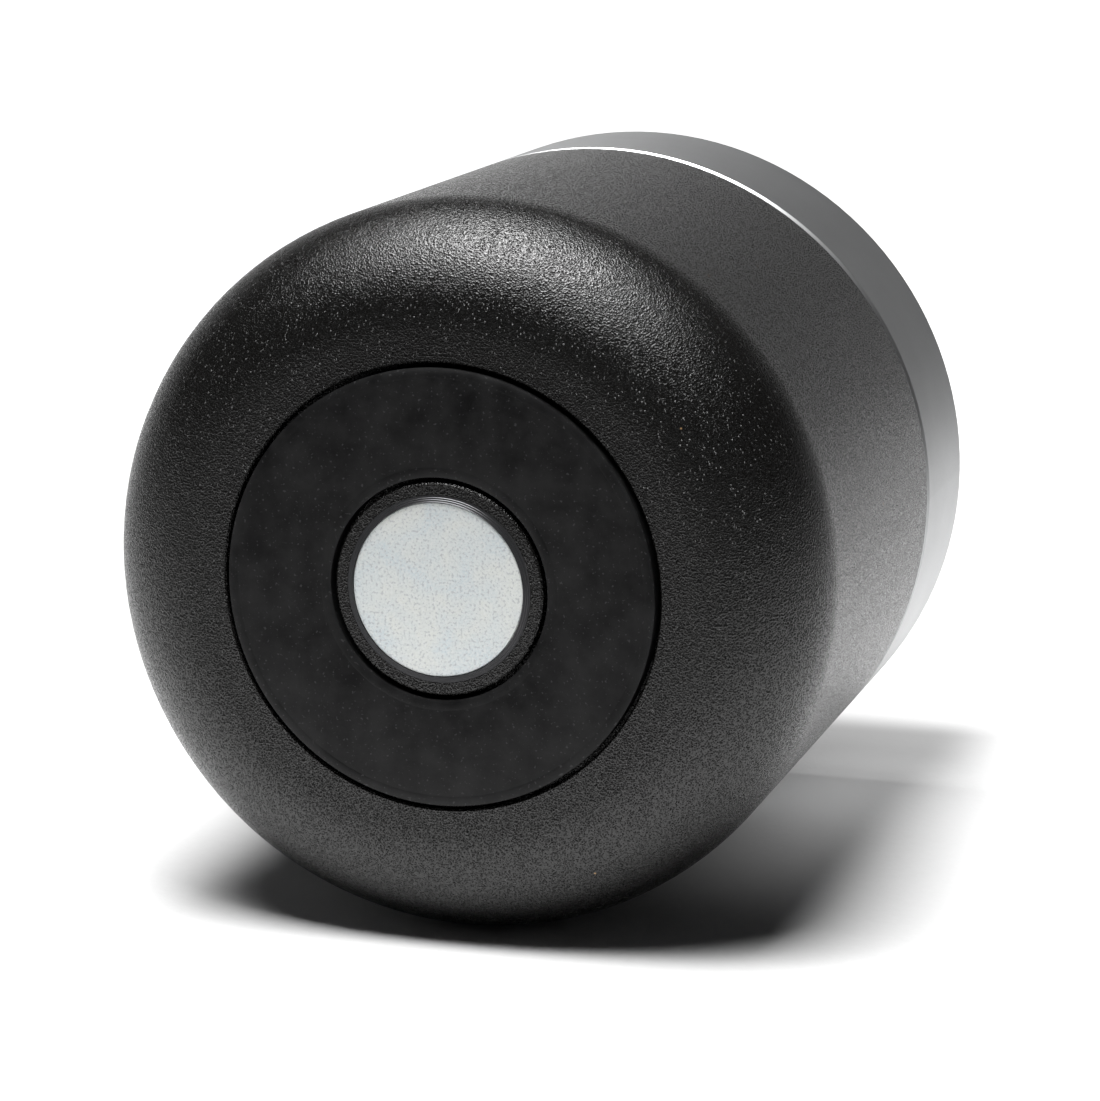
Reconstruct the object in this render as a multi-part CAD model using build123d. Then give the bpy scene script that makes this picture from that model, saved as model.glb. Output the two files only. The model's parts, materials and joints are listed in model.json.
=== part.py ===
from build123d import *
import os
from math import cos, radians, sin, sqrt

# Magnet-mounted survey prism: a round black housing with a rounded rear end, a
# rubber friction ring and a disc magnet on its rear face, and a corner-cube glass
# prism behind a grey screw-on bezel at its front.
#
# Frame: millimetres, +Z up. The origin is the centre of the magnet's outer face, which
# the rubber ring's face is level with; only the thin lip of the collar stands ahead of
# it. +Y is the optical axis and points out of the glass. Every turned part is a profile
# of (radius, station) points, where the station is the distance along +Y from the
# magnet's face.

# ---- driving dimensions -------------------------------------------------------
BODY_R = 32.0  # outside radius of the housing
LENGTH = 65.5  # magnet's face to the front face of the bezel
SEAM_Y = 48.9  # front rim of the housing
REAR_FILLET_R = 10.0  # rounding of the housing's rear edge
REAR_FACE_Y = 0.45  # housing's rear face, behind the rubber and the magnet
SIDE_WALL = 3.4
FLOOR_Y = 6.5  # inside face of the housing's rear wall
SEAM_CHAMFER = 0.3  # housing's front edge
INNER_FILLET_R = 6.5

# rear mounting face
MAGNET_R = 7.5
MAGNET_THICK = 5.0
MAGNET_EDGE_R = 0.1
MAGNET_GAP = 0.02
COLLAR_R = 8.05  # turned collar that holds the magnet
COLLAR_GAP = 0.04
COLLAR_LIP_R = 7.58
COLLAR_LIP_Y = -0.12  # the lip stands this far ahead of the magnet's face
COLLAR_STEPS = 3  # fine turned steps on the collar's nose
COLLAR_EDGE_BREAK = 0.04  # chamfer along the edge of each step
COLLAR_FLANGE_R = 9.5
COLLAR_FLANGE_THICK = 1.3
BOSS_R = 9.15  # textured land around the collar
LAND_Y = 0.2
CHANNEL_R = 19.2  # outside of the channel that holds the rubber ring
CHANNEL_DEPTH = 2.0
PAD_FACE_Y = 0.0
PAD_GAP = 0.42  # open groove on each side of the rubber ring
PAD_EDGE_WIDTH = 0.7  # radial width of the ring's rounded edges
PAD_EDGE_DROP = 0.15
ADHESIVE_THICK = 0.2
ADHESIVE_INSET = 0.2
EDGE_BREAK = 0.15

# magnet yoke, inside the rear wall
YOKE_R = 15.5
YOKE_THICK = 2.5
YOKE_CHAMFER = 0.4
SCREW_CIRCLE_R = 12.8
SCREW_COUNT = 3
SCREW_R = 1.2
SCREW_HOLE_R = 1.25
SCREW_CLEARANCE = 0.2  # added to the screw's radius in the plate
SCREW_TIP_CHAMFER = 0.3
SCREW_HEAD_R = 2.3
SCREW_HEAD_SINK = 0.1  # head lies this far under the plate's face
SCREW_TIP_Y = 3.6
SCREW_HOLE_END_Y = 3.4
SOCKET_R = 0.85
SOCKET_DEPTH = 0.9
YOKE_RING_R = 10.6  # centre line of the yoke's seal
YOKE_RING_SECTION_R = 0.5
YOKE_GROOVE_HALF = 0.55

# glass corner cube
GLASS_R = 25.0
GLASS_FACE_Y = 61.2
GLASS_BAND = 3.0  # full round part in front of the three facets
GLASS_CHAMFER = 0.4
NEST_GAP = 1.2  # silicone pads lift the facets this far off the cup

# cup that carries the glass
LEDGE_Y = 40.4  # ledge in the housing that the cup's flange sits over
CUP_R = 28.3
CUP_WALL = 2.0
CUP_BORE_R = 25.15
SLEEVE_R = 27.2
SLEEVE_END_Y = 63.8
SLEEVE_CHAMFER = 0.3
HUB_R = 7.0
HUB_END_Y = 17.0
GASKET_THICK = 1.0
FLANGE_R = 29.7
FLANGE_THICK = 1.5
SEAT_PAD_R = 4.0
SEAT_PAD_ALONG = 21.0  # apex of the glass to a pad's centre, along the facet
SHOCK_RING_SECTION_R = 0.4
SHOCK_RING_Y = 59.7
SHOCK_POCKET_Y = 58.2
SHOCK_POCKET_R = GLASS_R + 2 * SHOCK_RING_SECTION_R

# ring that holds the glass in the cup
RETAINER_BORE_R = 23.9
RETAINER_CREST_R = 25.85
RETAINER_Y = 62.0
RETAINER_THICK = 1.5
RETAINER_PITCH = 0.5
RETAINER_THREAD_DEPTH = 0.3
RETAINER_BEVEL = 1.0
SLOT_WIDTH = 2.2
SLOT_DEPTH = 0.7

# bezel and what it clamps
THREAD_CREST_R = 29.9  # crest of the housing's thread
THREAD_DEPTH = 0.4
THREAD_PITCH = 0.8
THREAD_TURNS = 4
THREAD_END_Y = 47.4
SEAL_BORE_R = 30.5
SPRING_THICK = 0.4
SPRING_CONE = 0.4
WASHER_THICK = 0.5
BEZEL_R = 32.0
BEZEL_BORE_R = 27.4
REVEAL = 0.2  # open line between the housing's rim and the bezel
BEZEL_REAR_CHAMFER = 0.7
BEZEL_FRONT_CHAMFER = 0.5
SEAL_SECTION_R = 0.5
BAFFLE_R = 29.4
BAFFLE_REAR_Y = 64.0
BAFFLE_FRONT_Y = 65.3
BAFFLE_BORE_R = 25.4
BAFFLE_RIM = 0.6
BAFFLE_STEPS = 4
BAFFLE_LIP = 0.4  # thickness left at the baffle's bore

# clearances and tool overrun
LOOSE_GAP = 0.1  # radial play of threads and of rings that drop in
SPIGOT_GAP = 0.2  # radial play of the bezel's plain spigot in the housing
SEAL_GAP = 0.2  # groove width beyond the seal's own section
OVERRUN = 1.0  # how far a cut runs past the surface it opens

# ---- sizes that follow ----------------------------------------------------------
CAVITY_R = BODY_R - SIDE_WALL
CHANNEL_FLOOR_Y = REAR_FACE_Y + CHANNEL_DEPTH
PAD_IN_R = BOSS_R + PAD_GAP
PAD_OUT_R = CHANNEL_R - PAD_GAP
COLLAR_BORE_R = COLLAR_R + COLLAR_GAP
COLLAR_FLANGE_Y = FLOOR_Y - COLLAR_FLANGE_THICK
YOKE_FACE_Y = FLOOR_Y + YOKE_THICK
FLANGE_Y = LEDGE_Y + GASKET_THICK
SPRING_Y = FLANGE_Y + FLANGE_THICK
WASHER_Y = SPRING_Y + SPRING_THICK + SPRING_CONE
SPIGOT_Y = WASHER_Y + WASHER_THICK
BEZEL_FLANGE_Y = SEAM_Y + REVEAL
RETAINER_TURNS = round(RETAINER_THICK / RETAINER_PITCH)
EDGE_ACROSS = sqrt(2 / 3)  # a cube edge's direction, across the optical axis
EDGE_ALONG = sqrt(1 / 3)  # and along it
CUBE_EDGE_SLOPE = EDGE_ACROSS / EDGE_ALONG  # radius gained per station along a cube edge
APEX_Y = GLASS_FACE_Y - GLASS_BAND - GLASS_R * CUBE_EDGE_SLOPE
NEST_APEX_Y = APEX_Y - NEST_GAP * sqrt(3)
CUBE_SIDE = 90.0  # longer than any facet, so only three of the cube's faces cut


# ---- helpers ----------------------------------------------------------------------
def turned(*edges):
    """A solid of revolution about the optical axis from a closed outline."""
    return revolve(make_face(Curve() + list(edges)), Axis.Y)


def turned_polygon(*points):
    """A solid of revolution from straight lines between (radius, station) points."""
    return turned(Polyline(*points, close=True))


def ring(inner, outer, start, end):
    return turned_polygon((inner, start), (outer, start), (outer, end), (inner, end))


def o_ring(radius, station, section_r):
    """A round-section seal ring about the optical axis."""
    section = Plane.XY * Pos(radius, station) * Circle(section_r)
    return revolve(section, Axis.Y)


def thread_points(crest, root, start, pitch, turns):
    """Zigzag points of a thread drawn as rings, from start towards +Y."""
    points = [(crest, start)]
    for turn in range(turns):
        points.append((root, start + (turn + 0.5) * pitch))
        points.append((crest, start + (turn + 1) * pitch))
    return points


def around(count, first_deg=90.0):
    """Rotations about the optical axis, evenly spaced."""
    return [Rot(0, first_deg + 360.0 / count * i, 0) for i in range(count)]


def cube_axes():
    """The corner cube's three edge directions, leaning equally away from +Y."""
    turns = [radians(90.0 + 120.0 * k) for k in range(3)]
    return [Vector(EDGE_ACROSS * cos(t), EDGE_ALONG, EDGE_ACROSS * sin(t)) for t in turns]


def corner_cube(apex_y):
    """A cube standing on one corner at apex_y, its body diagonal along +Y."""
    edges = cube_axes()
    corner = Plane(origin=(0, apex_y, 0), x_dir=edges[1], z_dir=edges[2])
    return corner * Box(CUBE_SIDE, CUBE_SIDE, CUBE_SIDE, align=(Align.MIN, Align.MIN, Align.MIN))


# ---- housing and rear mounting face -------------------------------------------------
def rear_housing():
    inner_centre = (CAVITY_R - INNER_FILLET_R, FLOOR_Y + INNER_FILLET_R)
    outer_centre = (BODY_R - REAR_FILLET_R, REAR_FACE_Y + REAR_FILLET_R)
    thread_start = THREAD_END_Y - THREAD_TURNS * THREAD_PITCH
    thread = thread_points(
        THREAD_CREST_R, THREAD_CREST_R + THREAD_DEPTH, thread_start, THREAD_PITCH, THREAD_TURNS
    )
    counterbore_r = COLLAR_FLANGE_R + COLLAR_GAP
    rear = Polyline(
        (counterbore_r, FLOOR_Y),
        (counterbore_r, COLLAR_FLANGE_Y),
        (COLLAR_BORE_R, COLLAR_FLANGE_Y),
        (COLLAR_BORE_R, LAND_Y),
        (BOSS_R - EDGE_BREAK, LAND_Y),
        (BOSS_R, LAND_Y + EDGE_BREAK),
        (BOSS_R, CHANNEL_FLOOR_Y),
        (CHANNEL_R, CHANNEL_FLOOR_Y),
        (CHANNEL_R, REAR_FACE_Y + EDGE_BREAK),
        (CHANNEL_R + EDGE_BREAK, REAR_FACE_Y),
        (outer_centre[0], REAR_FACE_Y),
    )
    outer_round = CenterArc(outer_centre, REAR_FILLET_R, 270, 90)
    side = Polyline(
        (BODY_R, outer_centre[1]),
        (BODY_R, SEAM_Y - SEAM_CHAMFER),
        (BODY_R - SEAM_CHAMFER, SEAM_Y),
        (SEAL_BORE_R, SEAM_Y),
        (SEAL_BORE_R, THREAD_END_Y),
        *reversed(thread),
        (THREAD_CREST_R, LEDGE_Y),
        (CAVITY_R, LEDGE_Y),
        (CAVITY_R, inner_centre[1]),
    )
    inner_round = CenterArc(inner_centre, INNER_FILLET_R, 270, 90)
    floor = Polyline(
        (inner_centre[0], FLOOR_Y),
        (YOKE_RING_R + YOKE_GROOVE_HALF, FLOOR_Y),
        (YOKE_RING_R + YOKE_GROOVE_HALF, FLOOR_Y - 2 * YOKE_RING_SECTION_R),
        (YOKE_RING_R - YOKE_GROOVE_HALF, FLOOR_Y - 2 * YOKE_RING_SECTION_R),
        (YOKE_RING_R - YOKE_GROOVE_HALF, FLOOR_Y),
        (counterbore_r, FLOOR_Y),
    )
    shell = turned(rear, outer_round, side, inner_round, floor)
    hole = turned_polygon(
        (0, SCREW_HOLE_END_Y),
        (SCREW_HOLE_R, SCREW_HOLE_END_Y),
        (SCREW_HOLE_R, FLOOR_Y + OVERRUN),
        (0, FLOOR_Y + OVERRUN),
    )
    for turn in around(SCREW_COUNT):
        shell -= turn * Pos(SCREW_CIRCLE_R, 0, 0) * hole
    return shell


def friction_pad():
    """Rubber ring with a softly rounded edge on each side of its working face."""
    # radius of an arc that leaves the face tangentially and drops by PAD_EDGE_DROP
    edge_r = (PAD_EDGE_WIDTH**2 + PAD_EDGE_DROP**2) / (2 * PAD_EDGE_DROP)
    back_y = CHANNEL_FLOOR_Y - ADHESIVE_THICK
    side_y = PAD_FACE_Y + PAD_EDGE_DROP
    face_in = (PAD_IN_R + PAD_EDGE_WIDTH, PAD_FACE_Y)
    face_out = (PAD_OUT_R - PAD_EDGE_WIDTH, PAD_FACE_Y)
    return turned(
        RadiusArc(face_in, (PAD_IN_R, side_y), edge_r),
        Polyline((PAD_IN_R, side_y), (PAD_IN_R, back_y), (PAD_OUT_R, back_y), (PAD_OUT_R, side_y)),
        RadiusArc((PAD_OUT_R, side_y), face_out, edge_r),
        Line(face_out, face_in),
    )


def pad_adhesive():
    inner, outer = PAD_IN_R + ADHESIVE_INSET, PAD_OUT_R - ADHESIVE_INSET
    return ring(inner, outer, CHANNEL_FLOOR_Y - ADHESIVE_THICK, CHANNEL_FLOOR_Y)


def magnet():
    disc = turned_polygon((0, 0), (MAGNET_R, 0), (MAGNET_R, MAGNET_THICK), (0, MAGNET_THICK))
    return fillet(disc.edges().filter_by(GeomType.CIRCLE), MAGNET_EDGE_R)


def magnet_collar():
    """Sleeve around the magnet: a stepped nose, and a flange at its inner end."""
    bore_r = MAGNET_R + MAGNET_GAP
    step_r = (COLLAR_R - COLLAR_LIP_R) / COLLAR_STEPS
    step_y = (LAND_Y - COLLAR_LIP_Y) / COLLAR_STEPS
    nose = []
    for i in range(COLLAR_STEPS):
        radius, y = COLLAR_LIP_R + i * step_r, COLLAR_LIP_Y + i * step_y
        nose.append((radius - COLLAR_EDGE_BREAK, y))
        nose.append((radius, y + COLLAR_EDGE_BREAK))
        nose.append((radius, y + step_y))
    return turned_polygon(
        (bore_r, COLLAR_LIP_Y),
        *nose,
        (COLLAR_R, LAND_Y),
        (COLLAR_R, COLLAR_FLANGE_Y),
        (COLLAR_FLANGE_R, COLLAR_FLANGE_Y),
        (COLLAR_FLANGE_R, FLOOR_Y),
        (bore_r, FLOOR_Y),
    )


# ---- magnet yoke ----------------------------------------------------------------------
def yoke_plate():
    """Steel backing plate whose boss carries the magnet, with countersunk holes."""
    head_top_y = YOKE_FACE_Y - SCREW_HEAD_SINK
    plate = turned_polygon(
        (0, MAGNET_THICK),
        (MAGNET_R, MAGNET_THICK),
        (MAGNET_R, FLOOR_Y),
        (YOKE_R, FLOOR_Y),
        (YOKE_R, YOKE_FACE_Y - YOKE_CHAMFER),
        (YOKE_R - YOKE_CHAMFER, YOKE_FACE_Y),
        (0, YOKE_FACE_Y),
    )
    clear_r = SCREW_R + SCREW_CLEARANCE
    countersink = turned_polygon(
        (0, FLOOR_Y - OVERRUN),
        (clear_r, FLOOR_Y - OVERRUN),
        (clear_r, head_top_y - (SCREW_HEAD_R - clear_r)),
        (SCREW_HEAD_R + SCREW_HEAD_SINK, YOKE_FACE_Y),
        (SCREW_HEAD_R + SCREW_HEAD_SINK, YOKE_FACE_Y + OVERRUN),
        (0, YOKE_FACE_Y + OVERRUN),
    )
    for turn in around(SCREW_COUNT):
        plate -= turn * Pos(SCREW_CIRCLE_R, 0, 0) * countersink
    return plate


def yoke_screws():
    """Three countersunk screws with hexagon sockets."""
    head_top_y = YOKE_FACE_Y - SCREW_HEAD_SINK
    screw = turned_polygon(
        (0, SCREW_TIP_Y),
        (SCREW_R - SCREW_TIP_CHAMFER, SCREW_TIP_Y),
        (SCREW_R, SCREW_TIP_Y + SCREW_TIP_CHAMFER),
        (SCREW_R, head_top_y - (SCREW_HEAD_R - SCREW_R)),
        (SCREW_HEAD_R, head_top_y),
        (0, head_top_y),
    )
    socket_plane = Plane(origin=(0, head_top_y, 0), x_dir=(1, 0, 0), z_dir=(0, 1, 0))
    screw -= extrude(socket_plane * RegularPolygon(SOCKET_R, 6), -SOCKET_DEPTH)
    return [turn * Pos(SCREW_CIRCLE_R, 0, 0) * screw for turn in around(SCREW_COUNT)]


def yoke_o_ring():
    return o_ring(YOKE_RING_R, FLOOR_Y - YOKE_RING_SECTION_R, YOKE_RING_SECTION_R)


# ---- glass and its cup --------------------------------------------------------------------
def corner_cube_prism():
    """Glass cylinder whose back is three mutually square facets meeting at a point."""
    blank = turned_polygon(
        (0, APEX_Y - OVERRUN),
        (GLASS_R, APEX_Y - OVERRUN),
        (GLASS_R, GLASS_FACE_Y - GLASS_CHAMFER),
        (GLASS_R - GLASS_CHAMFER, GLASS_FACE_Y),
        (0, GLASS_FACE_Y),
    )
    return blank & corner_cube(APEX_Y)


def prism_cup():
    """Funnel-backed cup with a three-sided nest, a clamping flange and a front sleeve."""
    # station where the outside of the cone would come to a point
    cone_point_y = NEST_APEX_Y - CUP_WALL / EDGE_ACROSS
    cone_start_y = cone_point_y + HUB_R / CUBE_EDGE_SLOPE
    cone_end_y = cone_point_y + CUP_R / CUBE_EDGE_SLOPE
    outside = turned_polygon(
        (0, HUB_END_Y),
        (HUB_R, HUB_END_Y),
        (HUB_R, cone_start_y),
        (CUP_R, cone_end_y),
        (CUP_R, FLANGE_Y),
        (FLANGE_R, FLANGE_Y),
        (FLANGE_R, FLANGE_Y + FLANGE_THICK),
        (SLEEVE_R, FLANGE_Y + FLANGE_THICK),
        (SLEEVE_R, SLEEVE_END_Y - SLEEVE_CHAMFER),
        (SLEEVE_R - SLEEVE_CHAMFER, SLEEVE_END_Y),
        (0, SLEEVE_END_Y),
    )
    nest = ring(0, CUP_BORE_R, HUB_END_Y, SHOCK_POCKET_Y) & corner_cube(NEST_APEX_Y)
    crest = RETAINER_CREST_R + LOOSE_GAP
    root = crest + RETAINER_THREAD_DEPTH
    thread = thread_points(crest, root, RETAINER_Y, RETAINER_PITCH, RETAINER_TURNS)
    mouth = turned_polygon(
        (0, SHOCK_POCKET_Y - OVERRUN),
        (CUP_BORE_R, SHOCK_POCKET_Y - OVERRUN),
        (CUP_BORE_R, SHOCK_POCKET_Y),
        (SHOCK_POCKET_R, SHOCK_POCKET_Y),
        (SHOCK_POCKET_R, RETAINER_Y),
        *thread,
        (crest, SLEEVE_END_Y + OVERRUN),
        (0, SLEEVE_END_Y + OVERRUN),
    )
    return outside - nest - mouth


def seat_pads():
    """Silicone discs between each facet of the glass and its nest."""
    edges = cube_axes()
    pads = []
    for k in range(3):
        along = (edges[(k + 1) % 3] + edges[(k + 2) % 3]).normalized()
        centre = Vector(0, APEX_Y, 0) + along * SEAT_PAD_ALONG
        facet = Plane(origin=centre, x_dir=along, z_dir=edges[k])
        pads.append(extrude(facet * Circle(SEAT_PAD_R), -NEST_GAP))
    return pads


def shock_ring():
    return o_ring(GLASS_R + SHOCK_RING_SECTION_R, SHOCK_RING_Y, SHOCK_RING_SECTION_R)


def glass_gasket():
    return ring(RETAINER_BORE_R, SHOCK_POCKET_R - LOOSE_GAP, GLASS_FACE_Y, RETAINER_Y)


def retaining_ring():
    """Threaded ring with a bevelled bore and two slots for a pin spanner."""
    front_y = RETAINER_Y + RETAINER_THICK
    root = RETAINER_CREST_R - RETAINER_THREAD_DEPTH
    thread = thread_points(RETAINER_CREST_R, root, RETAINER_Y, RETAINER_PITCH, RETAINER_TURNS)
    body = turned_polygon(
        (RETAINER_BORE_R, RETAINER_Y),
        *thread,
        (RETAINER_BORE_R + RETAINER_BEVEL, front_y),
        (RETAINER_BORE_R, front_y - RETAINER_BEVEL),
    )
    slot = Pos(0, front_y, 0) * Box(2 * BODY_R, 2 * SLOT_DEPTH, SLOT_WIDTH)
    return body - slot


# ---- what the bezel clamps, and the bezel ------------------------------------------------
def cup_gasket():
    return ring(CAVITY_R + LOOSE_GAP, FLANGE_R, LEDGE_Y, FLANGE_Y)


def preload_spring():
    """Disc spring: a shallow cone that keeps the stack tight as it warms and cools."""
    inner, outer = BEZEL_BORE_R, FLANGE_R - LOOSE_GAP
    return turned_polygon(
        (outer, SPRING_Y),
        (outer, SPRING_Y + SPRING_THICK),
        (inner, SPRING_Y + SPRING_THICK + SPRING_CONE),
        (inner, SPRING_Y + SPRING_CONE),
    )


def slip_washer():
    return ring(BEZEL_BORE_R, FLANGE_R - LOOSE_GAP, WASHER_Y, WASHER_Y + WASHER_THICK)


def bezel():
    """Grey screw-on ring with a threaded spigot, a seal groove and a polished rear chamfer."""
    crest = THREAD_CREST_R - LOOSE_GAP
    root = crest - THREAD_DEPTH
    land_r = SEAL_BORE_R - SPIGOT_GAP
    seal_start_y = THREAD_END_Y
    seal_end_y = seal_start_y + 2 * SEAL_SECTION_R + SEAL_GAP
    thread_start = THREAD_END_Y - THREAD_TURNS * THREAD_PITCH
    thread = thread_points(crest, root, thread_start, THREAD_PITCH, THREAD_TURNS)
    body = turned_polygon(
        (BEZEL_BORE_R, SPIGOT_Y),
        *thread,
        (root, seal_start_y),
        (root, seal_end_y),
        (land_r, seal_end_y),
        (land_r, BEZEL_FLANGE_Y),
        (BEZEL_R - BEZEL_REAR_CHAMFER, BEZEL_FLANGE_Y),
        (BEZEL_R, BEZEL_FLANGE_Y + BEZEL_REAR_CHAMFER),
        (BEZEL_R, LENGTH - BEZEL_FRONT_CHAMFER),
        (BEZEL_R - BEZEL_FRONT_CHAMFER, LENGTH),
        (BAFFLE_R, LENGTH),
        (BAFFLE_R, BAFFLE_REAR_Y),
        (BEZEL_BORE_R, BAFFLE_REAR_Y),
    )
    seal = o_ring(root + SEAL_SECTION_R, (seal_start_y + seal_end_y) / 2, SEAL_SECTION_R)
    return body, seal


def baffle_ring():
    """Black ring in the bezel's mouth, stepped so that it throws no glare at the glass."""
    step_width = (BAFFLE_R - BAFFLE_RIM - BAFFLE_BORE_R) / BAFFLE_STEPS
    step_depth = (BAFFLE_FRONT_Y - BAFFLE_REAR_Y - BAFFLE_LIP) / BAFFLE_STEPS
    stairs = []
    for i in range(BAFFLE_STEPS):
        outer = BAFFLE_R - BAFFLE_RIM - i * step_width
        y = BAFFLE_FRONT_Y - i * step_depth
        stairs += [(outer, y), (outer, y - step_depth)]
    return turned_polygon(
        (BAFFLE_BORE_R, BAFFLE_REAR_Y),
        (BAFFLE_R, BAFFLE_REAR_Y),
        (BAFFLE_R, BAFFLE_FRONT_Y),
        *stairs,
        (BAFFLE_BORE_R, BAFFLE_FRONT_Y - BAFFLE_STEPS * step_depth),
    )


def main():
    bezel_body, bezel_seal = bezel()
    nodes = {
        "rear_housing": rear_housing(),
        "friction_pad": friction_pad(),
        "pad_adhesive": pad_adhesive(),
        "magnet": magnet(),
        "magnet_collar": magnet_collar(),
        "yoke_plate": yoke_plate(),
        "yoke_screws": Compound(children=yoke_screws()),
        "yoke_o_ring": yoke_o_ring(),
        "corner_cube_prism": corner_cube_prism(),
        "prism_cup": prism_cup(),
        "seat_pads": Compound(children=seat_pads()),
        "shock_ring": shock_ring(),
        "glass_gasket": glass_gasket(),
        "retaining_ring": retaining_ring(),
        "cup_gasket": cup_gasket(),
        "preload_spring": preload_spring(),
        "slip_washer": slip_washer(),
        "bezel": bezel_body,
        "bezel_o_ring": bezel_seal,
        "baffle_ring": baffle_ring(),
    }
    os.makedirs("parts", exist_ok=True)
    for name, shape in nodes.items():
        export_step(shape, f"parts/{name}.step")


main()
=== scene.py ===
import json
from math import asin, cos, pi, radians, sin

import bpy
from mathutils import Matrix, Vector


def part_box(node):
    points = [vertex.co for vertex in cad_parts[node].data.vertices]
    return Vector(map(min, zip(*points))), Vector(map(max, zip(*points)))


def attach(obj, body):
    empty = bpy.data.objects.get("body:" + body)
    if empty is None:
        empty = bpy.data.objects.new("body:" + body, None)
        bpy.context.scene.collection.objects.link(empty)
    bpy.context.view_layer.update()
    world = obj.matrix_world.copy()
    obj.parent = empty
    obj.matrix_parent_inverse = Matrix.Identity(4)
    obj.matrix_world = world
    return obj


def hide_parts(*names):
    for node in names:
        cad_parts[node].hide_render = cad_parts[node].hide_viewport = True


# Looks for the magnet-mounted survey prism. Metres, in the CAD model's frame: the
# prism lies on its side, +Y is the optical axis and +Z is up.

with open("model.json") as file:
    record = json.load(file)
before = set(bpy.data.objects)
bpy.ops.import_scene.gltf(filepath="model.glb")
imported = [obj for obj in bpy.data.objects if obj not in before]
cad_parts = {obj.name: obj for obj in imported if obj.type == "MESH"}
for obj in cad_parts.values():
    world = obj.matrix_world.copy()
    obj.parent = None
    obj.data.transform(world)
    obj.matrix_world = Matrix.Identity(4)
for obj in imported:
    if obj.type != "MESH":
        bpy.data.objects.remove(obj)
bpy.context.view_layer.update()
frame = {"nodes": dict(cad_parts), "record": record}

MM = 0.001
BODY_R = 32.0 * MM
FLOOR_Z = -BODY_R

# ---- camera ---------------------------------------------------------------------------
CAMERA_AZIMUTH = radians(16.72)
CAMERA_ELEVATION = radians(12.15)
LENS = 124.5
# where a point on the optical axis, close to the rear face, lies as the camera sees it
SIGHT_Y = 0.25 * MM
SIGHT_RIGHT = -9.34 * MM
SIGHT_BELOW = 3.26 * MM
SIGHT_AHEAD = 319.4 * MM
CLIP_START = 20.0 * MM

# ---- rubber ring ----------------------------------------------------------------------
PAD_INNER_R = 9.57 * MM
PAD_EDGE_WIDTH = 0.7 * MM  # radial width of each soft edge
PAD_EDGE_DROP = 0.15 * MM  # how far each soft edge falls back from the face
PAD_EDGE_STEPS = 8
LATHE_SEGMENTS = 360
SHARP_ANGLE = radians(40)
MOULD_LINE_INSET = 0.15 * MM  # from the soft edge to the mould line
MOULD_LINE_WIDTH = 0.10 * MM
MOULD_LINE_DEPTH = 0.012 * MM

# ---- light -----------------------------------------------------------------------------
SOFTBOX_AIM = Vector((0.0, 0.030, 0.0))
SOFTBOX_FROM = Vector((-0.06, -0.19, 0.97))  # direction of the lamp from its aim
SOFTBOX_DISTANCE = 0.36
SOFTBOX_SIZE = 0.235
SOFTBOX_RADIANCE = 20.5
AMBIENT = (0.012, 0.012, 0.013, 1.0)

# ---- paper sweep -----------------------------------------------------------------------
SWEEP_NEAR_Y = -1.2
SWEEP_FAR_Y = 1.15
SWEEP_HALF_WIDTH = 1.6
SWEEP_CURVE_R = 0.25
SWEEP_TOP = 0.42  # height of the wall's top edge above the floor
SWEEP_STEPS = 16

# ---- tones of the paper ----------------------------------------------------------------
# Each pair is where a tone starts and where it is full, along x, along y or up from the
# floor.
PAINTED_FRONT_SHADE_Y = (-0.040, -0.10)  # painted shade: greyer paper in front of the object, where the lamp's light falls off
SHADE_NEAR_Y = (0.062, 0.078)  # painted shade: a soft shadow painted onto the paper beside the bezel's lower edge
SHADE_FAR_Y = (0.092, 0.083)
SHADE_RIGHT_X = (0.036, 0.026)
SHADE_LEFT_X = (-0.010, 0.010)
GLOW_RADIANCE = 1.0  # the paper's own light, behind the object
GLOW_Y = (0.10, 0.38)
GLOW_NEAR_X = (0.15, 0.0)
GLOW_FAR_RADIANCE = 0.3  # of that light, on the far floor to the right
GLOW_FAR_X = (0.70, 0.30)
GLOW_FAR_Y = (0.40, 0.70)
WALL_LEFT = 0.45  # of that light, once the sweep has curved up
WALL_RIGHT = 0.12
WALL_RISE = (0.005, 0.12)
WALL_X = (0.00, -0.35)  # from the right-hand value to the left-hand one
SHADOW_RADIANCE = 0.25  # painted light: the paper glows in the shadow beside the object, lifting it
SHADOW_Y = (0.014, 0.070)
SHADOW_X = (0.004, 0.024)
SHADOW_END_Y = (0.085, 0.065)
SHADOW_END_X = (0.090, 0.050)

NOISE_SPREAD = (0.3, 0.7)  # a noise's values lie mostly between these


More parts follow.
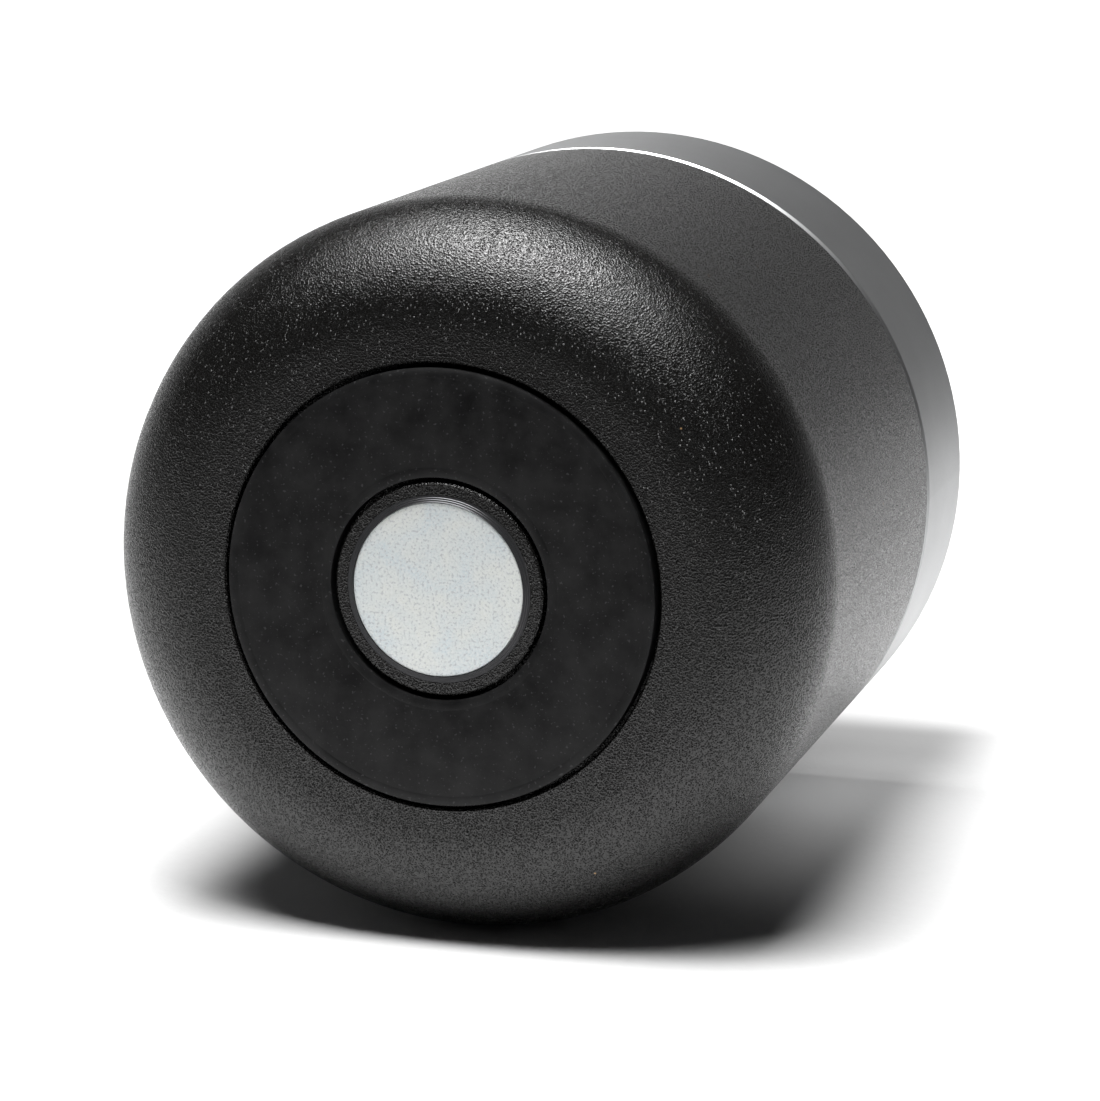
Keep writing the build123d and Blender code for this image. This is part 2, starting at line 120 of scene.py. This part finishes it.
# ---- node helpers ----------------------------------------------------------------------
class Shader:
    """A material's node tree, with short calls to add and join nodes."""

    def __init__(self, name):
        self.material = bpy.data.materials.new(name)
        self.material.use_nodes = True
        self.tree = self.material.node_tree
        self.tree.nodes.clear()
        self.bsdf = self.add("ShaderNodeBsdfPrincipled")
        surface = self.add("ShaderNodeOutputMaterial").inputs["Surface"]
        self.link(self.bsdf.outputs["BSDF"], surface)
        self.place = self.add("ShaderNodeTexCoord").outputs["Object"]

    def add(self, kind):
        return self.tree.nodes.new(kind)

    def link(self, source, target):
        self.tree.links.new(source, target)

    def set(self, **values):
        """Uniform values, straight onto the surface shader's own sockets."""
        for key, value in values.items():
            self.bsdf.inputs[key.replace("_", " ")].default_value = value

    def noise(self, size, detail=2.0, roughness=0.5, distortion=0.0):
        """Noise whose features are about size metres across."""
        node = self.add("ShaderNodeTexNoise")
        node.inputs["Scale"].default_value = 1.0 / size
        node.inputs["Detail"].default_value = detail
        node.inputs["Roughness"].default_value = roughness
        node.inputs["Distortion"].default_value = distortion
        self.link(self.place, node.inputs["Vector"])
        return node.outputs["Fac"]

    def cells(self, size):
        """Distance to the nearest of scattered points about size metres apart."""
        node = self.add("ShaderNodeTexVoronoi")
        node.inputs["Scale"].default_value = 1.0 / size
        node.inputs["Randomness"].default_value = 1.0
        self.link(self.place, node.inputs["Vector"])
        return node.outputs["Distance"]

    def math(self, operation, a, b):
        """Result of a maths node; a and b are numbers or sockets."""
        node = self.add("ShaderNodeMath")
        node.operation = operation
        for socket, value in zip(node.inputs, (a, b)):
            if isinstance(value, (int, float)):
                socket.default_value = value
            else:
                self.link(value, socket)
        return node.outputs[0]

    def remap(self, value, low, high, to_low=0.0, to_high=1.0, smooth=False):
        """Value between to_low and to_high, held at them beyond low and high."""
        node = self.add("ShaderNodeMapRange")
        node.interpolation_type = "SMOOTHSTEP" if smooth else "LINEAR"
        for socket, number in zip(list(node.inputs)[1:5], (low, high, to_low, to_high)):
            socket.default_value = number
        self.link(value, node.inputs[0])
        return node.outputs[0]

    def mix(self, factor, a, b):
        """Colour between a and b, as factor goes from 0 to 1."""
        node = self.add("ShaderNodeMix")
        node.data_type = "RGBA"
        self.link(factor, node.inputs[0])
        for socket, value in zip((node.inputs[6], node.inputs[7]), (a, b)):
            if isinstance(value, tuple):
                socket.default_value = (*value, 1.0)
            else:
                self.link(value, socket)
        return node.outputs[2]

    def bump(self, height, depth):
        """Bump of depth metres from a height of 0 to 1, as the surface's normal."""
        node = self.add("ShaderNodeBump")
        node.inputs["Strength"].default_value = 1.0
        node.inputs["Distance"].default_value = depth
        self.link(height, node.inputs["Height"])
        self.link(node.outputs["Normal"], self.bsdf.inputs["Normal"])


def powder_coat():
    """Black fine-textured coat: glossy worm-like grains over duller hollows, whose darker black
    and weaker reflection are painted shade.
    """
    worm_size, hollow_spacing, speck_spacing = 0.10 * MM, 0.17 * MM, 0.35 * MM
    worm_share, hollow_share, speck_share = 0.5, 0.5, 0.6  # of the height
    speck_core, speck_edge = 0.03, 0.25  # radii, in speck spacings
    relief = 0.082 * MM
    crest_starts, crest_full = 0.28, 0.57  # heights
    # painted shade: the hollows' darker black and weaker reflection stand in for shade in the
    # grain's recesses
    shaded_hollow_black, crest_black = (0.0005, 0.0005, 0.0005), (0.0046, 0.0043, 0.0040)
    hollow_rough, crest_rough = 0.60, 0.15
    shaded_hollow_specular, crest_specular = 0.03, 0.61
    dust_spacing, dust_brown = 6.0 * MM, (0.30, 0.19, 0.09)
    dust_core, dust_edge = 0.012, 0.022  # radii, in dust spacings
    s = Shader("housing_coat")
    worms = s.math("MULTIPLY", s.noise(worm_size, detail=1.5, distortion=0.2), worm_share)
    hollows = s.math("MULTIPLY", s.cells(hollow_spacing), hollow_share)
    speck_away = s.cells(speck_spacing)
    specks = s.remap(speck_away, speck_core, speck_edge, speck_share, 0.0, smooth=True)
    height = s.math("ADD", s.math("ADD", worms, hollows), specks)
    s.bump(height, relief)
    crest = s.remap(height, crest_starts, crest_full)
    black = s.mix(crest, shaded_hollow_black, crest_black)
    dust = s.remap(s.cells(dust_spacing), dust_edge, dust_core)
    rough = s.remap(crest, 0.0, 1.0, hollow_rough, crest_rough)
    specular = s.remap(crest, 0.0, 1.0, shaded_hollow_specular, crest_specular)
    s.link(s.mix(dust, black, dust_brown), s.bsdf.inputs["Base Color"])
    s.link(rough, s.bsdf.inputs["Roughness"])
    s.link(specular, s.bsdf.inputs["Specular IOR Level"])
    s.set(IOR=1.5)
    return s.material


def pad_rubber():
    """Smooth moulded rubber, very slightly mottled, with specks of pale dust."""
    cloud_size, speck_size, grain_size = 3.5 * MM, 0.28 * MM, 0.16 * MM
    dark, light = (0.0008, 0.0008, 0.0010), (0.0110, 0.0110, 0.0112)
    cloud_spread, dust_spread = (0.35, 0.65), (0.64, 0.74)
    dust_grey, dust_share = (0.060, 0.060, 0.062), 0.5
    smoother, duller = 0.50, 0.60
    relief = 0.006 * MM
    s = Shader("pad_rubber")
    cloud = s.noise(cloud_size, detail=4.0, roughness=0.6)
    speck = s.noise(speck_size, detail=1.0)
    dust = s.math("MULTIPLY", s.remap(speck, *dust_spread, smooth=True), dust_share)
    base = s.mix(s.remap(cloud, *cloud_spread), dark, light)
    s.link(s.mix(dust, base, dust_grey), s.bsdf.inputs["Base Color"])
    s.link(s.remap(cloud, *NOISE_SPREAD, smoother, duller), s.bsdf.inputs["Roughness"])
    s.bump(s.noise(grain_size), relief)
    s.set(IOR=1.30)
    return s.material


def zinc_plating():
    """Matt pale zinc: faint clouding, a fine grain, small pits and a cool tint."""
    cloud_size, stain_size = 4.2 * MM, 1.7 * MM
    grain_size, pit_size = 0.20 * MM, 0.24 * MM
    blue_grey, pale_grey = (0.67, 0.75, 0.78), (0.78, 0.80, 0.76)
    stain_grey, bright_grey, pit_grey = (0.70, 0.74, 0.74), (0.86, 0.88, 0.87), (0.48, 0.50, 0.52)
    cloud_spread, stain_spread = (0.40, 0.60), (0.35, 0.75)
    grain_spread, pit_spread = (0.35, 0.65), (0.52, 0.66)
    stain_share, grain_share, pit_share = 0.6, 0.7, 0.65
    smoother, duller = 0.44, 0.56
    relief = 0.008 * MM
    s = Shader("magnet_plating")
    cloud = s.noise(cloud_size, detail=3.0, roughness=0.55, distortion=0.4)
    stain = s.noise(stain_size, detail=3.0, roughness=0.6)
    grain = s.noise(grain_size)
    pits = s.remap(s.noise(pit_size), *pit_spread, 0.0, pit_share, smooth=True)
    tint = s.mix(s.remap(cloud, *cloud_spread), blue_grey, pale_grey)
    tint = s.mix(s.remap(stain, *stain_spread, 0.0, stain_share), tint, stain_grey)
    tint = s.mix(s.remap(grain, *grain_spread, 0.0, grain_share), tint, bright_grey)
    s.link(s.mix(pits, tint, pit_grey), s.bsdf.inputs["Base Color"])
    s.link(s.remap(cloud, *NOISE_SPREAD, smoother, duller), s.bsdf.inputs["Roughness"])
    s.bump(grain, relief)
    s.set(Metallic=0.40)
    return s.material


def anodised(name, dark, light, roughness, metallic):
    """Bead-blasted and anodised aluminium."""
    grain_size, cloud_size, relief = 0.12 * MM, 8.0 * MM, 0.004 * MM
    vary = 0.05
    s = Shader(name)
    grain = s.noise(grain_size)
    cloud = s.noise(cloud_size, detail=3.0)
    rough = s.remap(grain, *NOISE_SPREAD, roughness - vary, roughness + vary)
    s.link(s.mix(s.remap(cloud, *NOISE_SPREAD), dark, light), s.bsdf.inputs["Base Color"])
    s.link(rough, s.bsdf.inputs["Roughness"])
    s.bump(grain, relief)
    s.set(Metallic=metallic)
    return s.material


def plain(name, dark, light, roughness, **values):
    """Moulded or rolled stock with a faint surface of its own."""
    grain_size, relief = 0.6 * MM, 0.008 * MM
    vary = 0.06
    s = Shader(name)
    grain = s.noise(grain_size, detail=3.0)
    rough = s.remap(grain, *NOISE_SPREAD, roughness - vary, roughness + vary)
    s.link(s.mix(s.remap(grain, *NOISE_SPREAD), dark, light), s.bsdf.inputs["Base Color"])
    s.link(rough, s.bsdf.inputs["Roughness"])
    s.bump(grain, relief)
    s.set(**values)
    return s.material


def optical_glass():
    """Clear crown glass with faint wiping smears."""
    smear_size, smear_spread, smear_rough = 9.0 * MM, (0.35, 0.7), 0.03
    s = Shader("optical_glass")
    smear = s.noise(smear_size, detail=4.0)
    s.link(s.remap(smear, *smear_spread, 0.0, smear_rough), s.bsdf.inputs["Roughness"])
    s.set(Base_Color=(0.97, 0.99, 0.985, 1.0), Transmission_Weight=1.0, IOR=1.517)
    return s.material


MATERIALS = {
    "housing_coat": powder_coat(),
    "pad_rubber": pad_rubber(),
    "magnet_plating": zinc_plating(),
    "optical_glass": optical_glass(),
}

# slot, darker and lighter colour, roughness, metallic
ANODISED = (
    ("black_anodised", (0.055, 0.055, 0.058), (0.078, 0.078, 0.082), 0.34, 0.7),
    ("bezel_anodised", (0.435, 0.44, 0.445), (0.480, 0.485, 0.490), 0.38, 1.0),
)
METALS = (
    ("zinc_steel", (0.58, 0.59, 0.60), (0.68, 0.69, 0.70), 0.38, 1.0),
    ("blackened_steel", (0.030, 0.030, 0.033), (0.055, 0.055, 0.060), 0.42, 0.8),
    ("spring_steel", (0.48, 0.47, 0.45), (0.57, 0.56, 0.54), 0.28, 1.0),
)
# slot, darker and lighter colour, roughness
MOULDINGS = (
    ("adhesive", (0.52, 0.51, 0.47), (0.60, 0.59, 0.54), 0.50),
    ("seal_rubber", (0.010, 0.010, 0.010), (0.016, 0.016, 0.016), 0.42),
    ("cup_plastic", (0.012, 0.012, 0.012), (0.020, 0.020, 0.020), 0.62),
    ("silicone", (0.66, 0.66, 0.63), (0.74, 0.74, 0.71), 0.45),
    ("washer_plastic", (0.80, 0.80, 0.77), (0.86, 0.86, 0.83), 0.50),
    ("baffle_plastic", (0.008, 0.008, 0.008), (0.013, 0.013, 0.013), 0.75),
)
for slot, dark, light, roughness, metallic in ANODISED:
    MATERIALS[slot] = anodised(slot, dark, light, roughness, metallic)
for slot, dark, light, roughness, metallic in METALS:
    MATERIALS[slot] = plain(slot, dark, light, roughness, Metallic=metallic)
for slot, dark, light, roughness in MOULDINGS:
    MATERIALS[slot] = plain(slot, dark, light, roughness)


# ---- rubber ring -----------------------------------------------------------------------
def lathe(name, outline):
    """A closed surface of revolution about the optical axis, from (radius, y) points."""
    vertices, faces = [], []
    count = len(outline)
    for i in range(LATHE_SEGMENTS):
        a = 2 * pi * i / LATHE_SEGMENTS
        vertices += [(r * cos(a), y, r * sin(a)) for r, y in outline]
        here, there = i * count, (i + 1) % LATHE_SEGMENTS * count
        for j in range(count):
            k = (j + 1) % count
            faces.append((here + j, here + k, there + k, there + j))
    mesh = bpy.data.meshes.new(name)
    mesh.from_pydata(vertices, [], faces)
    for face in mesh.polygons:
        face.use_smooth = True
    mesh.set_sharp_from_angle(angle=SHARP_ANGLE)
    piece = bpy.data.objects.new(name, mesh)
    bpy.context.scene.collection.objects.link(piece)
    return piece


def soft_edge(radius, side, face_y):
    """Arc from the ring's face, where it is tangent, out to its side wall."""
    bend_r = (PAD_EDGE_WIDTH**2 + PAD_EDGE_DROP**2) / (2 * PAD_EDGE_DROP)
    sweep_angle = asin(PAD_EDGE_WIDTH / bend_r)
    points = []
    for i in range(PAD_EDGE_STEPS + 1):
        a = sweep_angle * i / PAD_EDGE_STEPS
        inset = PAD_EDGE_WIDTH - bend_r * sin(a)
        points.append((radius - side * inset, face_y + bend_r * (1 - cos(a))))
    return points


def witness_line(radius, face_y):
    """Fine groove where two parts of the ring's mould met."""
    half = MOULD_LINE_WIDTH / 2
    return [(radius - half, face_y), (radius, face_y + MOULD_LINE_DEPTH), (radius + half, face_y)]


def friction_pad():
    """The moulded rubber ring: soft edges, and a mould line just inside each of them."""
    low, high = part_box("friction_pad")
    outer_r, face_y, back_y = high[0], low[1], high[1]
    line_in = PAD_INNER_R + PAD_EDGE_WIDTH + MOULD_LINE_INSET
    line_out = outer_r - PAD_EDGE_WIDTH - MOULD_LINE_INSET
    outline = [(PAD_INNER_R, back_y)]
    outline += reversed(soft_edge(PAD_INNER_R, -1, face_y))
    outline += witness_line(line_in, face_y)
    outline += witness_line(line_out, face_y)
    outline += soft_edge(outer_r, 1, face_y)
    outline += [(outer_r, back_y)]
    piece = lathe("friction_pad_moulding", outline)
    piece.data.materials.append(MATERIALS["pad_rubber"])
    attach(piece, "housing")
    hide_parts("friction_pad")
    return piece


def dress_cad_nodes():
    """Every carried-over CAD node gets its slot's material."""
    slots = {part["node"]: part["material_slot"] for part in frame["record"]["subparts"]}
    for node, piece in frame["nodes"].items():
        piece.data.materials.clear()
        piece.data.materials.append(MATERIALS[slots[node]])


def softbox():
    """One square lamp, almost straight above the object, a little to its rear and left."""
    light = bpy.data.lights.new("softbox", "AREA")
    light.shape = "RECTANGLE"
    light.size = SOFTBOX_SIZE
    light.size_y = SOFTBOX_SIZE
    light.energy = SOFTBOX_RADIANCE * pi * SOFTBOX_SIZE * SOFTBOX_SIZE
    lamp = bpy.data.objects.new("softbox", light)
    lamp.location = SOFTBOX_AIM + SOFTBOX_FROM.normalized() * SOFTBOX_DISTANCE
    lamp.rotation_euler = (SOFTBOX_AIM - lamp.location).to_track_quat("-Z", "Y").to_euler()
    bpy.context.scene.collection.objects.link(lamp)


def floor_paper():
    """White paper with painted shade in front and beside the bezel's lower edge, light of its own
    behind, and painted light in the shadow beside the object.
    """
    tooth_size, tooth_relief = 0.9 * MM, 0.04 * MM
    paper_dark, paper_light = (0.80, 0.80, 0.80), (0.84, 0.84, 0.84)
    # painted shade: these greys darken the paper in front of the object and beside the bezel's
    # lower edge
    painted_front_shade_grey, painted_shade_grey = (0.16, 0.16, 0.16), (0.42, 0.42, 0.42)
    s = Shader("floor_paper")
    tooth = s.noise(tooth_size, detail=3.0)
    s.bump(tooth, tooth_relief)
    split = s.add("ShaderNodeSeparateXYZ")
    s.link(s.place, split.inputs[0])
    x, y, z = split.outputs["X"], split.outputs["Y"], split.outputs["Z"]

    def both(a, b):
        return s.math("MULTIPLY", a, b)

    # painted shade: a patch of greyer paper standing in for a soft shadow beside the bezel
    painted_shade_mask = both(s.remap(y, *SHADE_NEAR_Y, smooth=True), s.remap(y, *SHADE_FAR_Y, smooth=True))
    painted_shade_mask = both(painted_shade_mask, s.remap(x, *SHADE_RIGHT_X, smooth=True))
    painted_shade_mask = both(painted_shade_mask, s.remap(x, *SHADE_LEFT_X, smooth=True))
    # painted shade: the paper greys towards the front, standing in for light falling off
    ahead = s.remap(y, *PAINTED_FRONT_SHADE_Y, smooth=True)
    paper = s.mix(painted_shade_mask, s.mix(tooth, paper_dark, paper_light), painted_shade_grey)
    s.link(s.mix(ahead, paper, painted_front_shade_grey), s.bsdf.inputs["Base Color"])

    # the light behind the object: full on the left, faint on the far right, less up the wall
    behind = s.remap(y, *GLOW_Y, 0.0, GLOW_RADIANCE, smooth=True)
    near_side = s.remap(x, *GLOW_NEAR_X, smooth=True)
    far_side = both(s.remap(x, *GLOW_FAR_X, 0.0, GLOW_FAR_RADIANCE), s.remap(y, *GLOW_FAR_Y))
    rise = s.remap(z, *(FLOOR_Z + up for up in WALL_RISE), smooth=True)
    dimming = s.remap(x, *WALL_X, 1.0 - WALL_RIGHT, 1.0 - WALL_LEFT, smooth=True)
    low = s.math("SUBTRACT", 1.0, both(rise, dimming))
    glow = both(both(behind, s.math("MAXIMUM", near_side, far_side)), low)

    # painted light: the paper glows faintly in the shadow beside the object
    along = s.remap(y, *SHADOW_Y, 0.0, SHADOW_RADIANCE, smooth=True)
    out = s.remap(x, *SHADOW_X, smooth=True)
    end = both(s.remap(y, *SHADOW_END_Y), s.remap(x, *SHADOW_END_X))
    painted_shadow_glow = both(both(along, out), end)
    s.link(s.math("ADD", glow, painted_shadow_glow), s.bsdf.inputs["Emission Strength"])
    s.set(Roughness=0.8, Emission_Color=(1.0, 1.0, 1.0, 1.0))
    return s.material


def sweep():
    """Floor that curves up into a low backdrop behind the object."""
    curve_y = SWEEP_FAR_Y - SWEEP_CURVE_R
    outline = [(SWEEP_NEAR_Y, 0.0), (curve_y, 0.0)]
    for i in range(1, SWEEP_STEPS + 1):
        a = pi / 2 * i / SWEEP_STEPS
        outline.append((curve_y + SWEEP_CURVE_R * sin(a), SWEEP_CURVE_R * (1 - cos(a))))
    outline.append((SWEEP_FAR_Y, SWEEP_TOP))
    sides = (-SWEEP_HALF_WIDTH, SWEEP_HALF_WIDTH)
    vertices = [(x, y, FLOOR_Z + z) for y, z in outline for x in sides]
    faces = [(2 * i, 2 * i + 1, 2 * i + 3, 2 * i + 2) for i in range(len(outline) - 1)]
    mesh = bpy.data.meshes.new("sweep")
    mesh.from_pydata(vertices, [], faces)
    mesh.materials.append(floor_paper())
    for face in mesh.polygons:
        face.use_smooth = True
    piece = bpy.data.objects.new("sweep", mesh)
    bpy.context.scene.collection.objects.link(piece)
    return piece


def studio():
    sweep()
    softbox()
    world = bpy.data.worlds.new("studio")
    world.use_nodes = True
    world.node_tree.nodes["Background"].inputs["Color"].default_value = AMBIENT
    bpy.context.scene.world = world
    bpy.context.scene.view_settings.view_transform = "Standard"


def camera():
    a, e = CAMERA_AZIMUTH, CAMERA_ELEVATION
    right = Vector((cos(a), sin(a), 0.0))
    ahead = Vector((-sin(a) * cos(e), cos(a) * cos(e), -sin(e)))
    up = right.cross(ahead)
    target = Vector((0.0, SIGHT_Y, 0.0))
    place = target - SIGHT_RIGHT * right + SIGHT_BELOW * up - SIGHT_AHEAD * ahead
    data = bpy.data.cameras.new("camera")
    data.lens = LENS
    data.clip_start = CLIP_START
    piece = bpy.data.objects.new("camera", data)
    turn = Matrix((right, up, -ahead)).transposed()
    piece.matrix_world = Matrix.Translation(place) @ turn.to_4x4()
    bpy.context.scene.collection.objects.link(piece)
    bpy.context.scene.camera = piece


dress_cad_nodes()
friction_pad()
studio()
camera()
